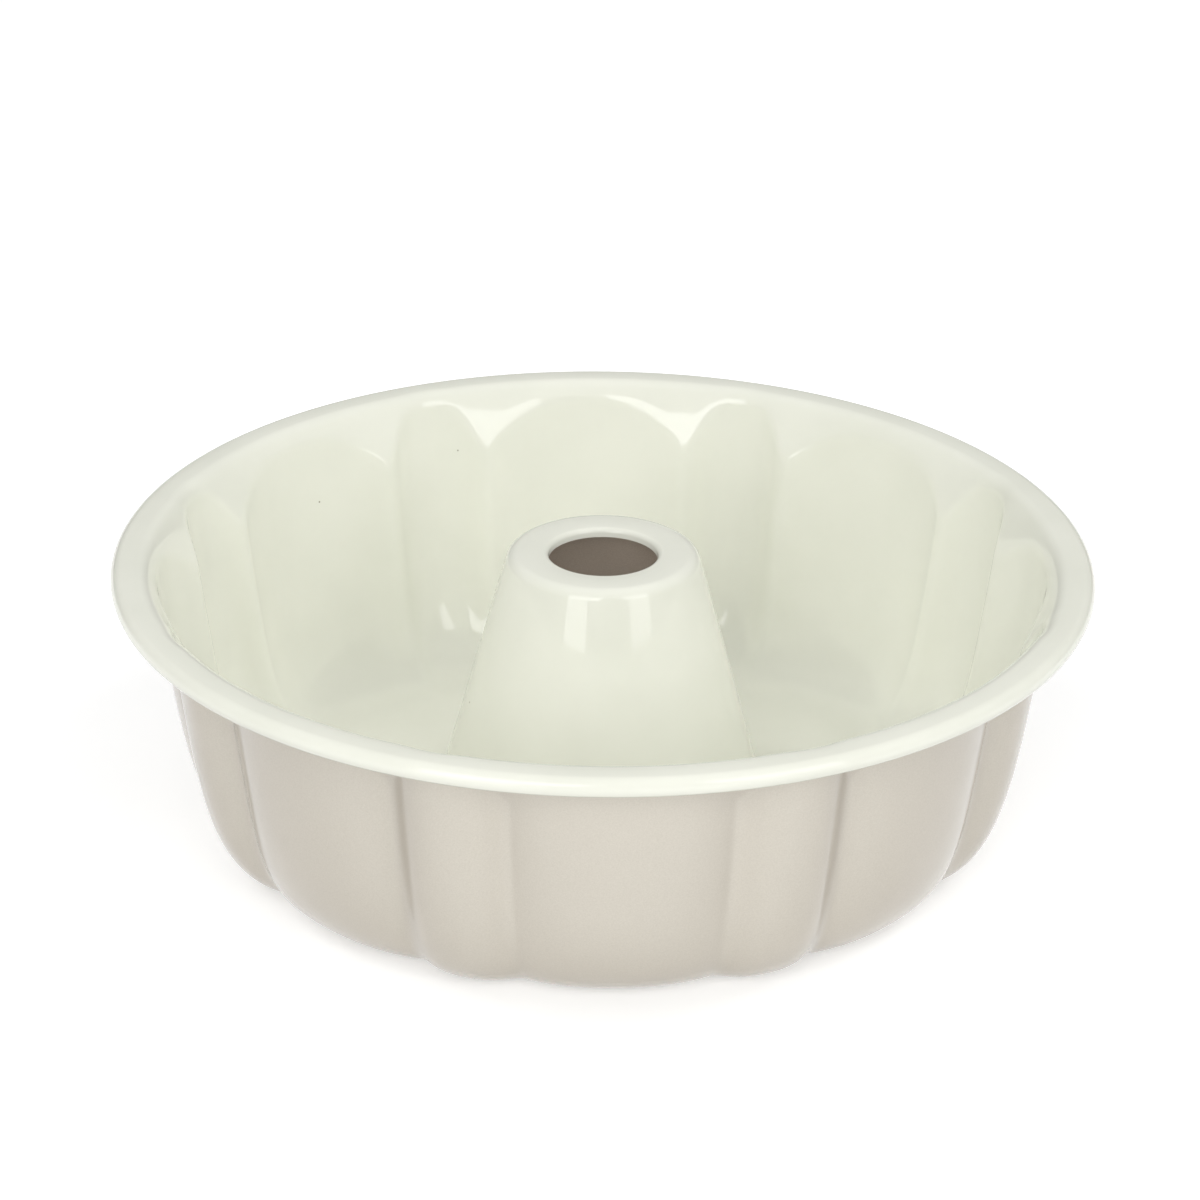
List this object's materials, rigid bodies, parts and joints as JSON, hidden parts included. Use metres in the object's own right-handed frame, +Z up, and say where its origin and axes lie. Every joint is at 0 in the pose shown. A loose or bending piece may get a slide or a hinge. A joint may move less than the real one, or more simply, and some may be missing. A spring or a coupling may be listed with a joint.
{
  "type": "fluted tube pan",
  "caption": "Round fluted ring mould with a coned centre tube, a rolled rim, a pale ceramic lining inside and painted steel outside.",
  "frame": {"origin": "on the table, under the middle of the centre tube", "axes": "+Z up along the centre tube's axis, -Y towards the viewer through the middle of a wide flute"},
  "size_m": [0.26, 0.26, 0.079],
  "materials": {
    "painted_steel": "satin",
    "ceramic_lining": "gloss",
    "wire_steel": "satin"
  },
  "bodies": {
    "root": {"fluted_body": "painted_steel", "body_lining": "ceramic_lining", "centre_tube": "painted_steel", "tube_lining": "ceramic_lining", "rim_wire": "wire_steel"}
  },
  "joints": []
}
